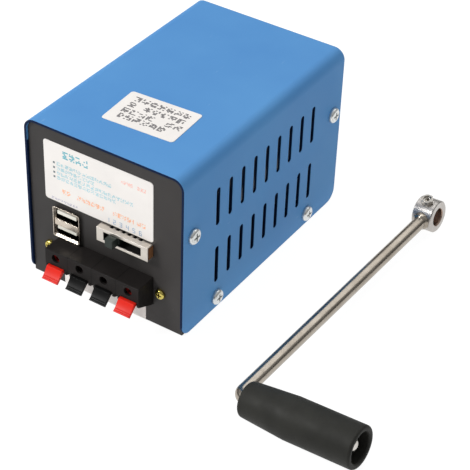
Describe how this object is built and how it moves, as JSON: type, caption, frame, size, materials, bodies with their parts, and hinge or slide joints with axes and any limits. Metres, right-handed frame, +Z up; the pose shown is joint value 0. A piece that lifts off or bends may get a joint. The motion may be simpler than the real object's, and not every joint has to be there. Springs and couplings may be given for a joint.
{
  "type": "hand crank generator",
  "caption": "Blue sheet steel box holding a gear train, a small generator and its regulator, with push terminals, stacked sockets and a slide selector in front, and its loose crank alongside",
  "frame": {"origin": "the middle of the box's flat base, on the surface that the box and its crank lie on", "axes": "+Z is up, +Y points out of the rear along the input shaft, the front panel faces -Y, and the loose crank lies on the +X side"},
  "size_m": [0.2037, 0.1975, 0.0901],
  "materials": {
    "blue_paint": "satin blue powder paint on sheet steel",
    "panel_paint": "fine matt dark brown-grey paint on sheet steel",
    "zinc_steel": "bright zinc plate",
    "label_film": "white film with plain coloured marks",
    "tinned_steel": "tinned sheet steel, fingerprinted",
    "cream_plastic": "moulded cream plastic",
    "gold_plate": "gold plated contacts",
    "phenolic": "brown laminated board, matt",
    "selector_plastic": "black moulded plastic",
    "brass": "yellow brass, a little tarnished",
    "black_plastic": "black moulded plastic",
    "red_lever": "red moulded plastic",
    "black_lever": "black moulded plastic",
    "circuit_board": "green glass-fibre board",
    "capacitor_sleeve": "dark shrunk sleeve",
    "ferrite": "dark grey ferrite",
    "chip_plastic": "black epoxy",
    "bare_aluminium": "bare aluminium",
    "plate_steel": "zinc plated steel",
    "bronze": "oiled sintered bronze",
    "shaft_steel": "ground steel",
    "gear_steel": "hobbed steel, oiled",
    "lamination_steel": "varnished laminations",
    "copper_wire": "enamelled copper",
    "lead_insulation": "black flexible insulation",
    "nickel_steel": "nickel plate, warm grey",
    "steel_fastener": "plated steel",
    "grip_plastic": "dark grey hard plastic, satin"
  },
  "bodies": {
    "housing": {"cover": "blue_paint", "chassis": "panel_paint", "cover_screws": "zinc_steel", "cover_nuts": "zinc_steel", "top_label": "label_film", "front_label": "label_film", "lower_label": "label_film", "usb_shell": "tinned_steel", "usb_insulator": "cream_plastic", "usb_contacts": "gold_plate", "selector_frame": "tinned_steel", "selector_body": "phenolic", "selector_pins": "brass", "terminal_body": "black_plastic", "terminal_contacts": "brass", "terminal_screws": "brass", "terminal_nuts": "zinc_steel", "regulator_board": "circuit_board", "board_brackets": "zinc_steel", "small_screws": "zinc_steel", "capacitors": "capacitor_sleeve", "inductor": "ferrite", "regulator_chips": "chip_plastic", "heat_sink": "bare_aluminium", "gearbox_rear_plate": "plate_steel", "gearbox_front_plate": "plate_steel", "gearbox_pillars": "plate_steel", "gearbox_screws": "zinc_steel", "gearbox_bushes": "bronze", "bearing_outer_ring": "shaft_steel", "bearing_balls": "shaft_steel", "bearing_housing": "bare_aluminium", "generator_can": "plate_steel", "generator_end_plate": "bare_aluminium", "stator_core": "lamination_steel", "stator_coils": "copper_wire", "generator_bearings": "bronze", "generator_leads": "lead_insulation"},
    "input": {"input_shaft": "shaft_steel", "input_gear": "gear_steel", "input_circlip": "shaft_steel", "bearing_inner_ring": "shaft_steel"},
    "layshaft_a": {"layshaft_1": "shaft_steel", "layshaft_1_gear": "gear_steel"},
    "layshaft_b": {"layshaft_2": "shaft_steel", "layshaft_2_gear": "gear_steel"},
    "rotor": {"rotor_magnet": "ferrite", "rotor_shaft": "shaft_steel"},
    "lever_1": {"terminal_lever_1": "red_lever"},
    "lever_2": {"terminal_lever_2": "black_lever"},
    "lever_3": {"terminal_lever_3": "black_lever"},
    "lever_4": {"terminal_lever_4": "red_lever"},
    "selector": {"selector_knob": "selector_plastic"},
    "crank": {"crank_hub": "nickel_steel", "crank_rod": "nickel_steel", "hub_set_screw": "steel_fastener", "hub_lock_nut": "steel_fastener", "grip_washer": "steel_fastener", "grip_nut": "steel_fastener"},
    "grip": {"grip": "grip_plastic"}
  },
  "joints": [
    {"name": "input_spin", "type": "hinge", "parent": "housing", "child": "input", "pos_m": [0, 0, 0.05], "axis": [0, 1, 0], "continuous": true},
    {"name": "layshaft_1_spin", "type": "hinge", "parent": "housing", "child": "layshaft_a", "pos_m": [-0.015, 0, 0.02402], "axis": [0, 1, 0], "continuous": true},
    {"name": "layshaft_2_spin", "type": "hinge", "parent": "housing", "child": "layshaft_b", "pos_m": [0.00572, 0, 0.02221], "axis": [0, 1, 0], "continuous": true},
    {"name": "rotor_spin", "type": "hinge", "parent": "housing", "child": "rotor", "pos_m": [0.01181, 0, 0.03526], "axis": [0, 1, 0], "continuous": true},
    {"name": "lever_1_push", "type": "hinge", "parent": "housing", "child": "lever_1", "pos_m": [-0.02095, -0.0773, 0.0252], "axis": [1, 0, 0], "range_deg": [0, 15], "stiffness_Nm_per_rad": 0.03, "springref_deg": -17.19},
    {"name": "lever_2_push", "type": "hinge", "parent": "housing", "child": "lever_2", "pos_m": [-0.00685, -0.0773, 0.0252], "axis": [1, 0, 0], "range_deg": [0, 15], "stiffness_Nm_per_rad": 0.03, "springref_deg": -17.19},
    {"name": "lever_3_push", "type": "hinge", "parent": "housing", "child": "lever_3", "pos_m": [0.00725, -0.0773, 0.0252], "axis": [1, 0, 0], "range_deg": [0, 15], "stiffness_Nm_per_rad": 0.03, "springref_deg": -17.19},
    {"name": "lever_4_push", "type": "hinge", "parent": "housing", "child": "lever_4", "pos_m": [0.02135, -0.0773, 0.0252], "axis": [1, 0, 0], "range_deg": [0, 15], "stiffness_Nm_per_rad": 0.03, "springref_deg": -17.19},
    {"name": "selector_slide", "type": "slide", "parent": "housing", "child": "selector", "axis": [1, 0, 0], "range_m": [-0.0033, 0.0132]},
    {"name": "crank_lift", "type": "slide", "parent": "housing", "child": "crank", "axis": [0, 0, 1], "range_m": [0, 0.12]},
    {"name": "grip_spin", "type": "hinge", "parent": "crank", "child": "grip", "pos_m": [0.12624, -0.09527, 0.0107], "axis": [0.9967, -0.0313, 0.0748], "continuous": true}
  ],
  "couplings": [
    {"joint": "layshaft_1_spin", "follows": "input_spin", "ratio": -4},
    {"joint": "layshaft_2_spin", "follows": "input_spin", "ratio": 13.333},
    {"joint": "rotor_spin", "follows": "input_spin", "ratio": -40}
  ]
}
